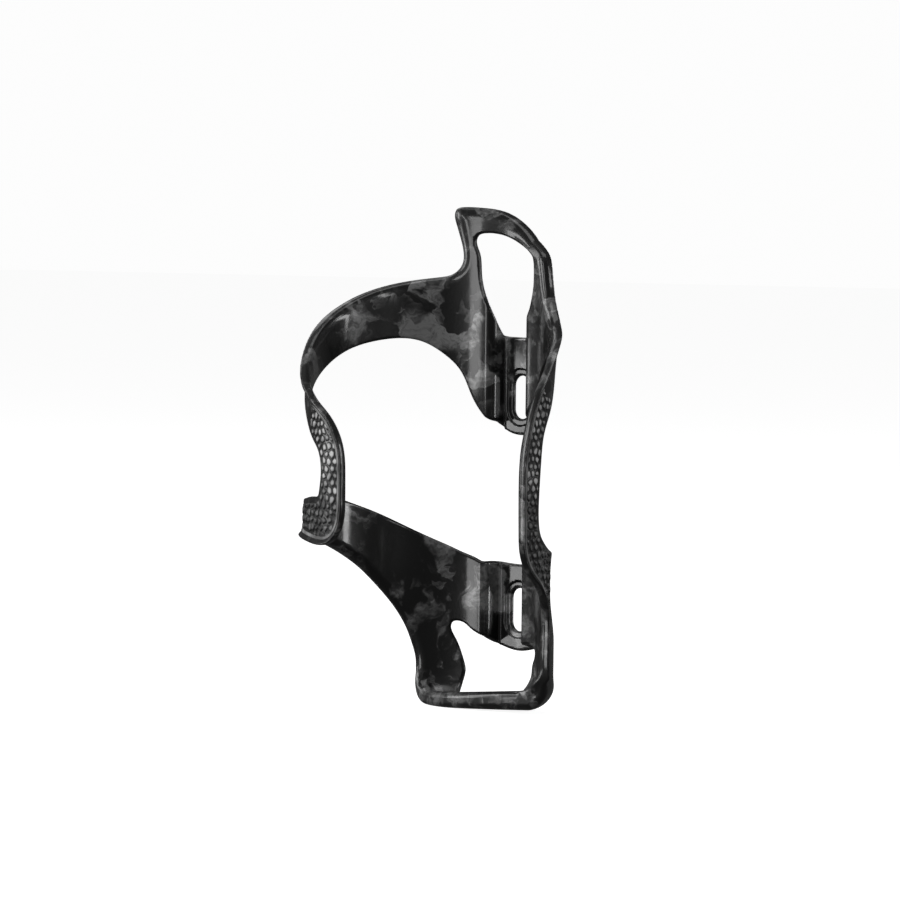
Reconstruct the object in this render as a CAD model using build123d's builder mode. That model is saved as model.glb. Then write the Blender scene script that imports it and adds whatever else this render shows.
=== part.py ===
from build123d import *
from math import cos, radians, sin
import os

# Side-loading bottle cage, all dimensions in millimetres.
# The origin lies midway between the two bolt slots, on the back face of the mounting plates.
# +Z is up along the bottle, +Y points out of the back of the plates, and the bottle axis is
# vertical at y = -AXIS_TO_BACK. Angles run round the bottle axis: 0 is the mounting side (+Y),
# 90 is -X, 180 is the front (-Y) and -90 is +X, the side the bottle is pulled out of.

# Driving dimensions
SLOT_PITCH = 64.0         # between the two bolt slots, the standard for frame bosses
SLOT_WIDTH = 6.0          # clears an M5 bolt
SLOT_LENGTH = 13.0        # overall, so the cage can be moved up or down on its bolts
AXIS_TO_BACK = 43.0       # bottle axis to the plates' back face
PLATE_THICK = 2.0
SHELL_IN = 35.3           # inner radius, which springs onto a 73 mm bottle
WALL = 2.1
SHELL_OUT = SHELL_IN + WALL
SHELL_MID = SHELL_IN + WALL / 2
GRIP_RAISE = 0.6          # the grip panels stand this proud of the shell

CHANNEL_INNER = 7.4       # half width of the bolt channel where it opens into the shell
CHANNEL_FLOOR = 6.5       # half width of its flat floor
CHANNEL_EDGE = 14.5       # angle at which the channel walls hand over to the shell

UPPER_PLATE_TOP = 50.0
UPPER_PLATE_BOTTOM = 20.7
LOWER_PLATE_TOP = -17.7
LOWER_PLATE_BOTTOM = -44.0

HOOP_FOOT_LEFT = 68.9     # height at which the neck hoop leaves the upper arm
HOOP_FOOT_RIGHT = 57.6    # height at which it leaves the upper wing
STRUT_TOP = 30.7          # side strut, between the upper and lower wings
STRUT_BOTTOM = -6.8
REAR_LEG_TOP = -37.4
SIDE_LEG_TOP = -43.1
SHELF_TOP = -57.2
SHELF_THICK = 2.8
SHELF_BOTTOM = SHELF_TOP - SHELF_THICK
SHELF_CORNER = 2.0        # rounding where the shelf turns up into the legs

REACH = SHELL_OUT + 4     # outlines are pushed this far out of the bottle axis
SHELL_FLOOR = Plane.XY.offset(SHELF_BOTTOM - 5) * Location((0, -AXIS_TO_BACK, 0))
SHELL_RISE = 160.0


def facing(angle):
    """Plane on the bottle axis that looks outward at this angle, with local y up."""
    a = radians(angle)
    return Plane(
        origin=(0, -AXIS_TO_BACK, 0), x_dir=(-cos(a), -sin(a), 0), z_dir=(-sin(a), cos(a), 0)
    )


def across(middle, points):
    """Points (angle, height) on the shell, seen square on from the middle angle."""
    return [(SHELL_MID * sin(radians(angle - middle)), height) for angle, height in points]


def band(middle, one_edge, other_edge):
    """Face between two smooth edges that run the same way, closed by a line at each end."""
    with BuildSketch() as face:
        with BuildLine():
            first = Spline(*across(middle, one_edge))
            second = Spline(*across(middle, other_edge))
            Line(first @ 0, second @ 0)
            Line(first @ 1, second @ 1)
        make_face()
    return face.sketch


def ring(low, high, inner=SHELL_IN, outer=SHELL_OUT):
    """Plan of the shell wall between two angles, centred on the bottle axis."""
    with BuildSketch() as face:
        with BuildLine():
            outside = CenterArc((0, 0), outer, low + 90, high - low)
            inside = CenterArc((0, 0), inner, low + 90, high - low)
            Line(outside @ 0, inside @ 0)
            Line(outside @ 1, inside @ 1)
        make_face()
    return face.sketch


def channel_plan():
    """Plan of the bolt channel: a flat floor on the frame side and a wall up each side."""
    edge = radians(CHANNEL_EDGE)
    front = AXIS_TO_BACK - PLATE_THICK
    with BuildSketch() as face:
        with BuildLine():
            outline = Polyline(
                (0, front),
                (CHANNEL_FLOOR - 1.2, front),
                (CHANNEL_FLOOR, front - 1.2),
                (CHANNEL_INNER, SHELL_IN * cos(edge) + 1.0),
                (SHELL_IN * sin(edge), SHELL_IN * cos(edge)),
                (SHELL_OUT * sin(edge), SHELL_OUT * cos(edge)),
                (CHANNEL_FLOOR + PLATE_THICK, AXIS_TO_BACK - 1.2),
                (CHANNEL_FLOOR + PLATE_THICK - 1.2, AXIS_TO_BACK),
                (0, AXIS_TO_BACK),
            )
            Line(outline @ 1, outline @ 0)
        make_face()
        mirror(about=Plane.YZ)
    return face.sketch


def plate_front(top, shoulders, bottom, corner):
    """Front outline of a mounting plate: the top edge climbs each wall to its shoulder, and the
    foot is round between its two corners. Shoulders are heights on the left and right walls."""
    half = CHANNEL_FLOOR + PLATE_THICK + 3
    with BuildSketch() as face:
        with BuildLine():
            left = Polyline(
                (-half, corner), (-half, shoulders[0]), (-CHANNEL_INNER - 2, shoulders[0]),
                (-CHANNEL_INNER, top + (shoulders[0] - top) * 0.6), (-CHANNEL_FLOOR, top),
            )
            right = Polyline(
                (half, corner), (half, shoulders[1]), (CHANNEL_INNER + 2, shoulders[1]),
                (CHANNEL_INNER, top + (shoulders[1] - top) * 0.6), (CHANNEL_FLOOR, top),
            )
            Line(left @ 1, right @ 1)
            ThreePointArc(left @ 0, (0, bottom), right @ 0)
        make_face()
    return face.sketch


# Mounting plates, each a shallow channel with one upright bolt slot
with BuildPart() as upper_mount_plate:
    with BuildSketch(SHELL_FLOOR):
        add(channel_plan())
    extrude(amount=SHELL_RISE)
    with BuildSketch(Plane.XZ.offset(AXIS_TO_BACK)):
        add(plate_front(UPPER_PLATE_TOP, (61, HOOP_FOOT_RIGHT), UPPER_PLATE_BOTTOM, 26.4))
    extrude(amount=-REACH * 2, mode=Mode.INTERSECT)
    with BuildSketch(Plane.XZ.offset(AXIS_TO_BACK)):
        with Locations((0, SLOT_PITCH / 2)):
            SlotOverall(SLOT_LENGTH, SLOT_WIDTH, rotation=90)
    extrude(amount=-REACH * 2, mode=Mode.SUBTRACT)
upper_mount_plate.part.label = "upper_mount_plate"

with BuildPart() as lower_mount_plate:
    with BuildSketch(SHELL_FLOOR):
        add(channel_plan())
    extrude(amount=SHELL_RISE)
    with BuildSketch(Plane.XZ.offset(AXIS_TO_BACK)):
        add(plate_front(LOWER_PLATE_TOP, (-17.4, -17.4), LOWER_PLATE_BOTTOM, -39.4))
    extrude(amount=-REACH * 2, mode=Mode.INTERSECT)
    with BuildSketch(Plane.XZ.offset(AXIS_TO_BACK)):
        with Locations((0, -SLOT_PITCH / 2)):
            SlotOverall(SLOT_LENGTH, SLOT_WIDTH, rotation=90)
    extrude(amount=-REACH * 2, mode=Mode.SUBTRACT)
lower_mount_plate.part.label = "lower_mount_plate"

# Upper arm: from the upper plate round the bottle's left side, in three lengths
with BuildPart() as upper_arm_rear:
    middle = 38
    with BuildSketch(facing(middle)):
        with BuildLine():
            window_side = Spline(
                *across(middle, [(11, 56.5), (15.1, 61.7), (16.9, 65.3), (17.8, HOOP_FOOT_LEFT)])
            )
            crest = Spline(
                *across(middle, [(30.8, HOOP_FOOT_LEFT), (37.6, 67.8), (50, 66.7), (66, 64.3)])
            )
            belly = Spline(
                *across(middle, [(11, 25), (16.2, 27.4), (20.5, 32.1), (24.7, 37.4), (28.8, 41.3),
                                 (36.8, 45.5), (44.7, 48.2), (54, 49.3), (66, 48.9)])
            )
            Line(window_side @ 1, crest @ 0)
            Line(crest @ 1, belly @ 1)
            Line(belly @ 0, window_side @ 0)
        make_face()
    extrude(amount=REACH)
    with BuildSketch(SHELL_FLOOR):
        add(ring(CHANNEL_EDGE, 62))
    extrude(amount=SHELL_RISE, mode=Mode.INTERSECT)
upper_arm_rear.part.label = "upper_arm_rear"

with BuildPart() as upper_arm_side:
    with BuildSketch(facing(87)):
        add(band(
            87,
            [(58, 65.7), (75.2, 62.4), (86.6, 59), (97.6, 55.2), (108.5, 51), (116, 47.5)],
            [(58, 49.3), (69.2, 48.5), (83.5, 46.2), (98.2, 42.3), (116, 36.7)],
        ))
    extrude(amount=REACH)
    with BuildSketch(SHELL_FLOOR):
        add(ring(62, 112))
    extrude(amount=SHELL_RISE, mode=Mode.INTERSECT)
upper_arm_side.part.label = "upper_arm_side"

with BuildPart() as upper_arm_front:
    with BuildSketch(facing(130)):
        add(band(
            130,
            [(108, 51.2), (117, 47), (125, 43.3), (135, 39.2), (145, 36), (152, 34.2)],
            [(108, 39.4), (119, 35.7), (129, 32.6), (136.5, 29.8), (142, 27), (152, 21.4)],
        ))
    extrude(amount=REACH)
    with BuildSketch(SHELL_FLOOR):
        add(ring(112, 148))
    extrude(amount=SHELL_RISE, mode=Mode.INTERSECT)
upper_arm_front.part.label = "upper_arm_front"

# Front strut: turns down across the front and joins the upper arm to the lower arm
with BuildPart() as front_strut:
    middle = 163
    with BuildSketch(facing(middle)):
        with BuildLine():
            free_edge = Spline(
                *across(middle, [(144, 36.3), (151, 34.4), (158, 32.2), (165, 29.6), (170, 26.9),
                                 (175, 22.5), (178, 16.5), (178.7, 9)])
            )
            side = Line(free_edge @ 1, across(middle, [(178.7, -4)])[0])
            foot = Line(across(middle, [(168, -10.4)])[0], across(middle, [(144, -9.3)])[0])
            TangentArc(side @ 1, foot @ 0, tangent=side % 1)
            end = Line(foot @ 1, across(middle, [(144, 2.5)])[0])
            sill = Line(end @ 1, across(middle, [(159.5, 3.5)])[0])
            inner_edge = Spline(
                *across(middle, [(160.9, 6.6), (161.7, 12), (159.4, 17.2), (155.7, 19.5),
                                 (151.3, 21.7), (144, 25.7)])
            )
            Line(sill @ 1, inner_edge @ 0)
            Line(inner_edge @ 1, free_edge @ 0)
        make_face()
    extrude(amount=REACH)
    with BuildSketch(SHELL_FLOOR):
        add(ring(148, 182))
    extrude(amount=SHELL_RISE, mode=Mode.INTERSECT)
front_strut.part.label = "front_strut"

# Neck hoop: an open-bottomed loop that stands on the arm and the wing round a large window
with BuildPart() as neck_hoop:
    middle = 0
    with BuildSketch(facing(middle)):
        with BuildLine():
            left_edge = Spline(
                *across(middle, [(30.8, HOOP_FOOT_LEFT), (27.2, 71.3), (26.1, 74.9), (28.1, 80.9),
                                 (29.8, 85.6)])
            )
            brow = Spline(
                *across(middle, [(27, 88.7), (15, 88.5), (4.9, 87.1), (-10, 81.4), (-22.5, 75.9)])
            )
            TangentArc(left_edge @ 1, brow @ 0, tangent=left_edge % 1)
            right_edge = Spline(
                *across(middle, [(-22.5, 75.9), (-25.8, 73), (-28.5, 65.8), (-31.9, 61.1),
                                 (-36.2, HOOP_FOOT_RIGHT)])
            )
            window_right = Spline(
                *across(middle, [(-14.2, HOOP_FOOT_RIGHT), (-16.4, 61.3), (-18.2, 65.5),
                                 (-18.4, 70.5), (-15.6, 74.9)])
            )
            window_top = Spline(
                *across(middle, [(-15.6, 74.9), (-9.8, 77.4), (-2.3, 79.7), (5, 81.2), (17, 81.5)])
            )
            window_left = Spline(
                *across(middle, [(20, 79.3), (18.6, 75), (17.8, HOOP_FOOT_LEFT)])
            )
            TangentArc(window_top @ 1, window_left @ 0, tangent=window_top % 1)
            Line(right_edge @ 1, window_right @ 0)
            Line(window_left @ 1, left_edge @ 0)
        make_face()
    extrude(amount=REACH)
    with BuildSketch(SHELL_FLOOR):
        add(ring(-50, 40))
    extrude(amount=SHELL_RISE, mode=Mode.INTERSECT)
neck_hoop.part.label = "neck_hoop"

# Upper wing: from the upper plate round to the side strut
with BuildPart() as upper_wing:
    middle = -50
    with BuildSketch(facing(middle)):
        with BuildLine():
            window_side = Line(
                across(middle, [(-11, 51)])[0], across(middle, [(-14.2, HOOP_FOOT_RIGHT)])[0]
            )
            free_edge = Spline(
                *across(middle, [(-36.2, HOOP_FOOT_RIGHT), (-42.7, 54.1), (-52, 51.3),
                                 (-62.2, 47.7), (-72, 41.9), (-80, 36.4), (-85.8, STRUT_TOP)])
            )
            arch = Spline(
                *across(middle, [(-11, 25), (-16.2, 27.4), (-20.5, 32.1), (-24.7, 37.2),
                                 (-30, 41.6), (-37, 44.8), (-45, 46.2), (-52, 44.8),
                                 (-57.5, 41.2), (-60.6, 37.5), (-66, STRUT_TOP)])
            )
            Line(window_side @ 1, free_edge @ 0)
            Line(free_edge @ 1, arch @ 1)
            Line(arch @ 0, window_side @ 0)
        make_face()
    extrude(amount=REACH)
    with BuildSketch(SHELL_FLOOR):
        add(ring(-95, -CHANNEL_EDGE))
    extrude(amount=SHELL_RISE, mode=Mode.INTERSECT)
upper_wing.part.label = "upper_wing"

# Side strut: the upright on the side the bottle is pulled out of
with BuildPart() as side_strut:
    with BuildSketch(facing(-81)):
        add(band(
            -81,
            [(-85.8, STRUT_TOP), (-89.2, 25), (-91.9, 19), (-93.1, 13), (-93.4, 4),
             (-93.1, STRUT_BOTTOM)],
            [(-66, STRUT_TOP), (-71.3, 26.1), (-75.2, 21.7), (-77.8, 14), (-79.2, 5),
             (-79.3, -2.5), (-77.3, STRUT_BOTTOM)],
        ))
    extrude(amount=REACH)
    with BuildSketch(SHELL_FLOOR):
        add(ring(-98, -60))
    extrude(amount=SHELL_RISE, mode=Mode.INTERSECT)
side_strut.part.label = "side_strut"

# Lower arm: from the lower plate round to the foot of the front strut, in three lengths
with BuildPart() as lower_arm_front:
    with BuildSketch(facing(124)):
        add(band(
            124,
            [(151, 3), (140, 2.3), (125, 1.9), (110, 1.8), (97, 1.5)],
            [(151, -9.9), (142, -9.3), (131, -8.8), (115, -9.4), (97, -12.3)],
        ))
    extrude(amount=REACH)
    with BuildSketch(SHELL_FLOOR):
        add(ring(100, 148))
    extrude(amount=SHELL_RISE, mode=Mode.INTERSECT)
lower_arm_front.part.label = "lower_arm_front"

with BuildPart() as lower_arm_side:
    with BuildSketch(facing(78)):
        add(band(
            78,
            [(103, 1.7), (93, 1.3), (82.4, -0.3), (72.7, -2.2), (63.9, -4.3), (53, -7.4)],
            [(103, -11.2), (92, -13.5), (82.8, -16.3), (74.5, -19.8), (66, -24.9), (57.8, -31),
             (53, -35.6)],
        ))
    extrude(amount=REACH)
    with BuildSketch(SHELL_FLOOR):
        add(ring(57, 100))
    extrude(amount=SHELL_RISE, mode=Mode.INTERSECT)
lower_arm_side.part.label = "lower_arm_side"

with BuildPart() as lower_arm_rear:
    middle = 36
    with BuildSketch(facing(middle)):
        with BuildLine():
            crest = Spline(
                *across(middle, [(11, -17.4), (17.4, -16.8), (23.7, -15.5), (31.8, -13.3),
                                 (39.7, -11.2), (47.6, -8.9), (60, -5.3)])
            )
            belly = Spline(*across(middle, [(60, -28.9), (56, -32.5), (51.7, REAR_LEG_TOP)]))
            notch = Spline(
                *across(middle, [(30.2, REAR_LEG_TOP), (29.4, -36.1), (27.2, -35.7), (23.3, -36.1),
                                 (20, -37.4), (16, -39), (11, -40.4)])
            )
            Line(crest @ 1, belly @ 0)
            Line(belly @ 1, notch @ 0)
            Line(notch @ 1, crest @ 0)
        make_face()
    extrude(amount=REACH)
    with BuildSketch(SHELL_FLOOR):
        add(ring(CHANNEL_EDGE, 57))
    extrude(amount=SHELL_RISE, mode=Mode.INTERSECT)
lower_arm_rear.part.label = "lower_arm_rear"

# Lower wing: from the lower plate round to the foot of the side strut
with BuildPart() as lower_wing:
    middle = -50
    with BuildSketch(facing(middle)):
        with BuildLine():
            crest = Spline(
                *across(middle, [(-11, -17.4), (-20, -16.8), (-32, -15), (-45, -13.4), (-58, -12.4),
                                 (-67, -11.3), (-74, -9), (-77.3, STRUT_BOTTOM)])
            )
            free_edge = Spline(
                *across(middle, [(-93.1, STRUT_BOTTOM), (-92.6, -11.4), (-90.1, -16), (-84.5, -20.2),
                                 (-78, -23.6), (-73.4, -28), (-71.8, -34), (-72, SIDE_LEG_TOP)])
            )
            belly = Spline(*across(middle, [(-23.9, SIDE_LEG_TOP), (-18, -41.7), (-11, -40.4)]))
            Line(crest @ 1, free_edge @ 0)
            Line(free_edge @ 1, belly @ 0)
            Line(belly @ 1, crest @ 0)
        make_face()
    extrude(amount=REACH)
    with BuildSketch(SHELL_FLOOR):
        add(ring(-98, -CHANNEL_EDGE))
    extrude(amount=SHELL_RISE, mode=Mode.INTERSECT)
lower_wing.part.label = "lower_wing"

# Legs that carry the bottle shelf
with BuildPart() as rear_leg:
    with BuildSketch(facing(36)):
        add(band(
            36,
            [(51.7, REAR_LEG_TOP), (48.6, -42.6), (46.9, -47), (46.4, SHELF_TOP)],
            [(30.2, REAR_LEG_TOP), (27.5, -41.5), (25.2, -46), (23.9, -50.5), (23.7, SHELF_TOP)],
        ))
    extrude(amount=REACH)
    with BuildSketch(SHELL_FLOOR):
        add(ring(20, 55))
    extrude(amount=SHELL_RISE, mode=Mode.INTERSECT)
rear_leg.part.label = "rear_leg"

with BuildPart() as side_leg:
    with BuildSketch(facing(-46)):
        add(band(
            -46,
            [(-23.9, SIDE_LEG_TOP), (-21.6, -47.5), (-20.2, -51.5), (-17.5, SHELF_TOP)],
            [(-72, SIDE_LEG_TOP), (-71.6, -48), (-70.8, -52), (-70, SHELF_TOP)],
        ))
    extrude(amount=REACH)
    with BuildSketch(SHELL_FLOOR):
        add(ring(-76, -12))
    extrude(amount=SHELL_RISE, mode=Mode.INTERSECT)
side_leg.part.label = "side_leg"

# Bottle shelf: a flat strap under the bottle's base, from leg to leg
with BuildPart() as bottom_shelf:
    with BuildSketch(Plane.XY.offset(SHELF_BOTTOM) * Location((0, -AXIS_TO_BACK, 0))):
        with BuildLine():
            left_end = CenterArc((0, 0), SHELL_OUT, 113.7, 22.7)
            right_end = CenterArc((0, 0), SHELL_OUT, 20, 52.5)
            Spline(left_end @ 1, (-13, 19.6), (10.7, 13.6), (23, 13), right_end @ 0)
            Spline(right_end @ 1, (0, 32.2), (-8, 32.2), left_end @ 0)
        make_face()
    extrude(amount=SHELF_THICK)
    fillet(bottom_shelf.faces().sort_by(Axis.Z)[0].edges().filter_by(GeomType.CIRCLE), SHELF_CORNER)
bottom_shelf.part.label = "bottom_shelf"

# Grip panels: pebbled facings on the outside of both struts
with BuildPart() as front_grip_panel:
    with BuildSketch(facing(163)):
        add(band(
            163,
            [(150, 30.6), (157, 30), (164, 27.5), (170, 23.6), (174.5, 17.5), (176, 10),
             (176.2, 2), (175.6, -5)],
            [(150, 25.2), (155.5, 22.3), (160.5, 19), (163.6, 14.5), (163.8, 8), (163.2, 3),
             (161.5, -1), (158, -5)],
        ))
    extrude(amount=REACH)
    with BuildSketch(SHELL_FLOOR):
        add(ring(140, 182, SHELL_OUT, SHELL_OUT + GRIP_RAISE))
    extrude(amount=SHELL_RISE, mode=Mode.INTERSECT)
front_grip_panel.part.label = "front_grip_panel"

with BuildPart() as side_grip_panel:
    with BuildSketch(facing(-81)):
        add(band(
            -81,
            [(-81.5, 32.5), (-86.8, 25), (-89.4, 19), (-90.6, 12), (-91, 3), (-90.4, -9)],
            [(-69.5, 32.5), (-74.8, 25), (-78, 19), (-80.2, 12), (-81.4, 3), (-79.8, -9)],
        ))
    extrude(amount=REACH)
    with BuildSketch(SHELL_FLOOR):
        add(ring(-98, -60, SHELL_OUT, SHELL_OUT + GRIP_RAISE))
    extrude(amount=SHELL_RISE, mode=Mode.INTERSECT)
side_grip_panel.part.label = "side_grip_panel"

os.makedirs("parts", exist_ok=True)
for piece in (
    upper_mount_plate, lower_mount_plate, upper_arm_rear, upper_arm_side, upper_arm_front,
    front_strut, neck_hoop, upper_wing, side_strut, lower_arm_front, lower_arm_side,
    lower_arm_rear, lower_wing, rear_leg, side_leg, bottom_shelf, front_grip_panel,
    side_grip_panel,
):
    export_step(piece.part, f"parts/{piece.part.label}.step")
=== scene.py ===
import math

import bmesh
import bpy
import numpy as np
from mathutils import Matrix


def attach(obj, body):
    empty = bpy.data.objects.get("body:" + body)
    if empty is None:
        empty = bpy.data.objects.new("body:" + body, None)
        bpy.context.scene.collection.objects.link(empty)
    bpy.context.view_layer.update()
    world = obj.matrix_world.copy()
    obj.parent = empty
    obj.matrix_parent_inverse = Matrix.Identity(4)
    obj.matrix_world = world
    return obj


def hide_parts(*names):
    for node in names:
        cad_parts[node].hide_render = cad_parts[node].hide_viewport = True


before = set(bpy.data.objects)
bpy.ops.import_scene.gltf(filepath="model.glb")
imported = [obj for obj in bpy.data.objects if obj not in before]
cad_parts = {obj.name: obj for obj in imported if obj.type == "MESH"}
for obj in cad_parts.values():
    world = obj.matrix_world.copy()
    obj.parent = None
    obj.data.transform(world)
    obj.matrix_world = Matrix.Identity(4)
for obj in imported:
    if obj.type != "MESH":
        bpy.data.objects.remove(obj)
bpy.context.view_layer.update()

import openvdb
from mathutils import Matrix, Vector
from mathutils.kdtree import KDTree

# ----------------------------------------------------------------------------------------------
# Driving dimensions, in millimetres. The bottle axis is upright at y = -AXIS_TO_BACK. Angles run
# round it: 0 faces the bicycle frame (+Y), 90 is -X, 180 is the front and -90 is +X.
# ----------------------------------------------------------------------------------------------
MM = 0.001
AXIS_TO_BACK = 43.0
SHELL_IN = 35.3
WALL = 2.1
SHELL_MID = SHELL_IN + WALL / 2
UPPER_FLOOR = (6.0, 6.0)   # the flat floor of a bolt channel reaches this far left and right
LOWER_FLOOR = (7.2, 5.2)
CHANNEL_CORNER = 1.4       # radius at which the floor turns into the walls
CHANNEL_BEND = 1.8         # radius at which the walls turn out onto the shell
CHANNEL_SPREAD = 5.0       # a channel adds about this much to the distance round the shell
CHANNEL_TOP = 63.5         # above this the shell has no channel
CHANNEL_Y = 20.0           # nor nearer to the bottle axis than this
NO_CHANNEL = 99.0          # distance across a channel where there is none
ANGLE_START = -130.0       # angles run from here to 230
SLOT_PITCH = 64.0
SLOT_WIDTH = 6.0
SLOT_LENGTH = 13.0
SHELF_MID = -59.33         # height of the shelf's middle layer at the bottle axis
SHELF_THICK = 2.8
SHELF_TILT = 0.0367        # the shelf rises this much per millimetre to the right
DISH_START = 18.0          # beyond this radius the shelf's left half also rises to the rear leg
DISH = 0.0045
DISH_EDGE = (10.0, 20.0)   # it fades out this far right of the axis, over this width
LEG_BLEND = (9.0, 6.0)     # this far above the shelf a leg starts to thicken, over this height
LEG_BEND = 6.2             # radius at which the legs' middle layer turns in to become the shelf
LEG_FILLET = (5.2, 7.6)    # radius inside that turn, at the rear leg and at the side leg
FILLET_REACH = 20.0        # the larger radius is reached this far right of the axis
PLAN_RADIUS = (31.0, 4.0)  # inside this radius the outline becomes the shelf's, over this width
EDGE_ROUND = 0.8           # rounding of every cut edge
RIM_ROUND = 0.45           # added to it for each millimetre of the shelf's rim
LIP_RISE = 1.6             # how far the free edges flare out of the shell
LIP_WIDTH = 3.0
LIP_FOOT = -50.0           # the lip ends at this height on the legs
HOOP_LIP = 0.4             # the lip along the hoop's top is larger by this share
HOOP_LIP_RAMP = (74.0, 12.0)   # it grows from this height, over this much
RIM_RISE = 2.25            # the shelf's front edge is this much thicker than the rest of it
RIM_SLOPE = 0.035          # and gains this much more per millimetre to the right
RIM_WIDTH = 5.0
RIM_STEP = 3.0             # the rim runs out over this width
HIP_DEPTH = 1.45           # the lower wing is drawn in towards the bottle here
HIP_CENTRE = (-49, -22)    # angle and height of its deepest place
HIP_REACH = (20, 18)       # half its width in degrees and half its height
BACK_Y = 30.0              # the slots, pockets and ribs are beyond this y
POCKET_WIDTH = 2.3         # a shallow pocket for the bolt's washer runs round each slot
POCKET_DEPTH = 0.4
POCKET_STEP = 0.5          # its edge slopes over this width
RIB_RISE = 0.35            # a fine upright rib where the floor begins to turn into each wall
RIB_HALF = 0.5
RELIEF_REACH = 3.0         # pockets and ribs stop this far up each wall
VOXEL = 0.42               # spacing of the grid that is turned into a mesh
FIELD_LOW = (-41.5, -41.5, -63)    # and its corners, from the bottle axis
FIELD_HIGH = (41.5, 45, 91)
MAP_STEP = 0.25            # spacing of the distance maps
MAP_MARGIN = 6.0           # and how far they reach beyond an outline
CURVE_STEP = 0.4           # spacing of the points on a smooth curve

# Seams between the named regions of the moulding, as in the CAD
CHANNEL_EDGE = 14.5
UPPER_SEAMS = (62, 112, 148)
LOWER_SEAMS = (57, 100, 148)
HOOP_FOOT_LEFT = 68.9
HOOP_FOOT_RIGHT = 57.6
STRUT_TOP = 30.7
STRUT_BOTTOM = -6.8
REAR_LEG_TOP = -37.4
SIDE_LEG_TOP = -43.1
SHELF_CUT = -54.0          # the legs hand over to the shelf a little above its top
REAR_LEG_BACK = 21.8       # below its seam the rear leg lies beyond this angle
RING_SPLIT = 5.0           # the upper ring is above this height and the lower ring below it
PLATE_TOP_LEFT = 68.0      # the upper plate's region reaches up to here on its left
STRUT_BACK = -60.0         # the side strut lies beyond this angle
WING_FOOT = 10.0           # short of it, the upper wing's region reaches down to here

GRIP_PITCH = 2.5           # from pebble to pebble
GRIP_ROWS = 0.866          # from row to row, as a share of that
GRIP_STEP = 0.2            # spacing of the panels' points
GRIP_FREE_INSET = 1.3      # the panels stop this far from a flared edge
GRIP_PLAIN_INSET = 0.9     # and this far from a plain one
GRIP_SKIRT = 0.5           # past that edge a skirt this wide is buried in the wall
GRIP_SINK = 0.5            # it is sunk this far
GRIP_DEPTH = 0.8           # and the panels' back this far
GRIP_GROUND = 0.45         # from the skirt up to the bottom of the grooves
GRIP_EDGE = 0.5            # the edge rises over this width
PEBBLE_RISE = 0.38
PEBBLE_JITTER = (0.26, 0.22)   # how far pebbles stray across and up, as shares of the pitch
PEBBLE_SPREAD = 0.35       # how much smaller than the largest a pebble may be
PEBBLE_STRETCH = 0.85      # pebbles are longer upwards: this is their width over their length
PEBBLE_ROUND = 0.55        # they round off over this share of the pitch
PEBBLE_HIGHLIGHT = (0.55, 0.3)  # painted highlight on their tops, and how much brighter it is painted higher up
BEAD_RISE = 0.35
BEAD_WIDTH = 1.4
BEAD_EDGE = 0.25           # the bead's sides rise over this width
# painted highlight along the bead's ridge
BEAD_HIGHLIGHT = 0.62
ARC = 0.63                 # millimetres round the shell for each degree

# Outline of the moulding as (angle, height). Each list is one smooth curve, and lists meet at
# corners. Angles inside the channels stand for distance across them in the same proportion.
FREE_EDGE = [
    [(47.3, -66), (46.9, -56), (46.6, -51), (46.8, -47), (48.6, -42.6), (51.7, -37.4), (57.8, -31),
     (66, -24.9), (74.5, -19.8), (82.8, -16.3), (92, -13.5), (104, -11), (117, -9.4), (131, -8.8),
     (142, -9.3), (153, -10.1), (162, -10.7), (168, -10.4), (173.5, -8.6), (177.5, -4.6),
     (178.8, 1), (178.8, 9), (178, 16.5), (174.5, 22.5), (169, 26.8), (163.2, 29.5), (155, 32.2),
     (148.8, 34.2), (143, 36), (135, 39.2), (125, 43.3), (117, 47.1), (108.5, 51.2), (97.6, 55.6),
     (86.6, 59.2), (75.2, 62.4), (62, 65.1), (50, 66.7), (37.6, 67.8), (32, 68.6), (28.6, 70.2),
     (26.7, 72.4), (26.5, 75.4), (27.9, 79.2), (30, 83.5), (31, 86.6), (30, 88.4), (27, 89),
     (15, 88.7), (4.9, 87.3), (-10, 81.5), (-21, 76.6), (-24.8, 74.6), (-27, 71.2), (-29, 65.8),
     (-31.9, 61.1), (-36.2, 57.6), (-42.7, 54.1), (-52, 51.3), (-62.2, 47.7), (-72, 41.9),
     (-80, 36.4), (-85.8, 30.7), (-89.2, 25), (-91.9, 19), (-93.1, 13), (-93.4, 4), (-93.1, -6.8),
     (-92.6, -11.4), (-90.1, -16), (-84.5, -20.2), (-78, -23.6), (-73.4, -28), (-71.8, -34),
     (-72, -43.1), (-71.6, -48), (-70.8, -52), (-70, -66)],
]
FOOT_EDGE = [
    [(-16.5, -66), (-17.6, -55), (-19.3, -51.5), (-20.4, -47.5), (-22.6, -45), (-22.3, -43.1),
     (-19, -42.1), (-15.5, -41.8), (-12, -42.1), (-8, -43.1), (-4, -44), (0, -44.4), (4.9, -43.5),
     (8, -42.5), (12.4, -40.9), (15.2, -39.8), (20, -38.1), (23.3, -36.4), (27.2, -35.7),
     (29.4, -36.1), (30.2, -37.4), (29.2, -39.5), (27.2, -41.8), (24.6, -46), (23, -49.5),
     (22.5, -52), (22.6, -55), (23.2, -66)],
]
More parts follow.
